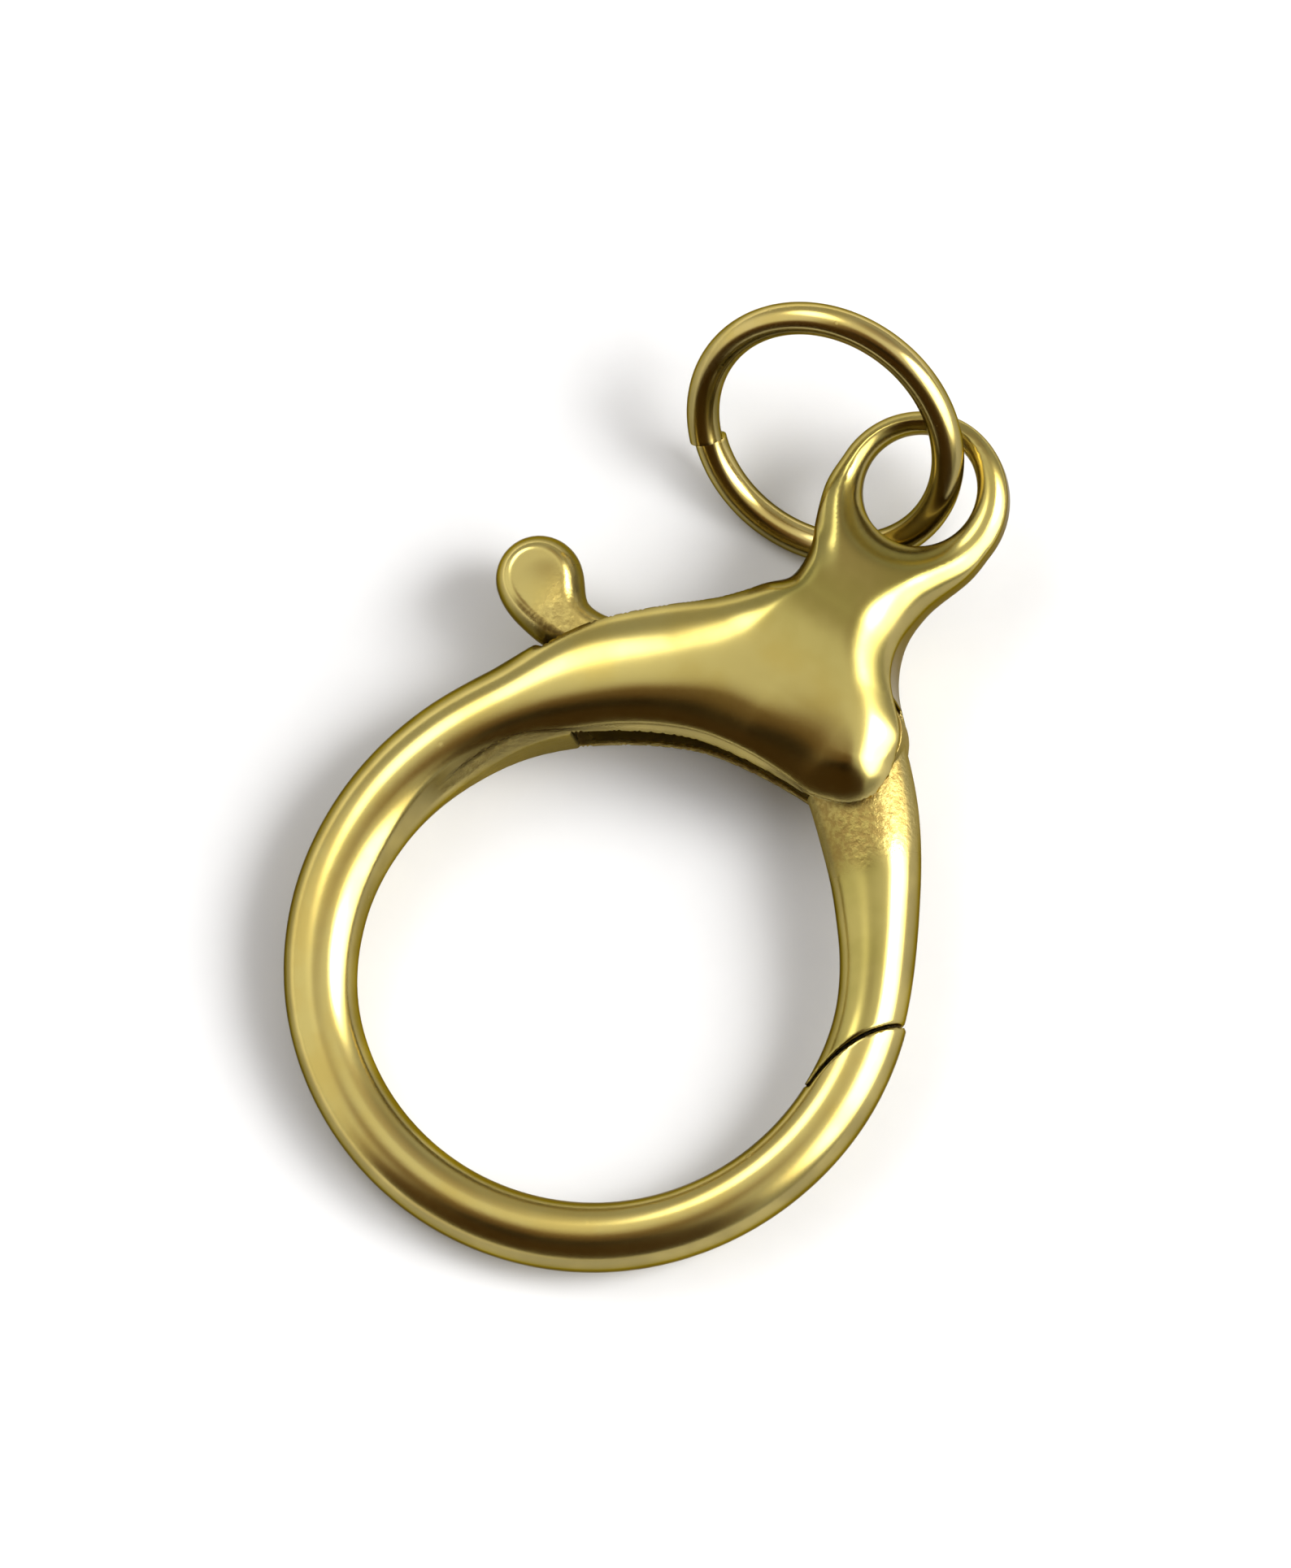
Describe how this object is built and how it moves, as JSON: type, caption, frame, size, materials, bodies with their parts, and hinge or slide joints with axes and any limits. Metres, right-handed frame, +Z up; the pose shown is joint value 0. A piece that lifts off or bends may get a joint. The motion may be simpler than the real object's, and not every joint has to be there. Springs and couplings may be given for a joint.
{
  "type": "charm holder clasp",
  "caption": "Round claw clasp with a pillow-shaped head, a hinged trigger gate with a knob for the thumb, and an open jump ring in its bail.",
  "frame": {"origin": "middle of the part's box on the surface that it lies on", "axes": "+Y along the part from the claw towards the bail, +Z up from the surface, +X towards the gate's side of the claw"},
  "size_m": [0.0198, 0.0311, 0.0071],
  "materials": {
    "polished_brass": "polished casting, file marks left in the slot and under the heel",
    "pin_brass": "plain turned, hidden",
    "wire_brass": "drawn wire, lightly pitted on the inside of the ring"
  },
  "bodies": {
    "clasp": {"clasp_body": "polished_brass", "pivot_pin": "pin_brass", "jump_ring": "wire_brass"},
    "lever": {"gate_lever": "polished_brass"}
  },
  "joints": [
    {"name": "gate_hinge", "type": "hinge", "parent": "clasp", "child": "lever", "pos_m": [0.0028, 0.00482, 0.00252], "axis": [0, -0.071, 0.9975], "range_deg": [-23, 0], "stiffness_Nm_per_rad": 0.02, "springref_deg": 11.46}
  ]
}
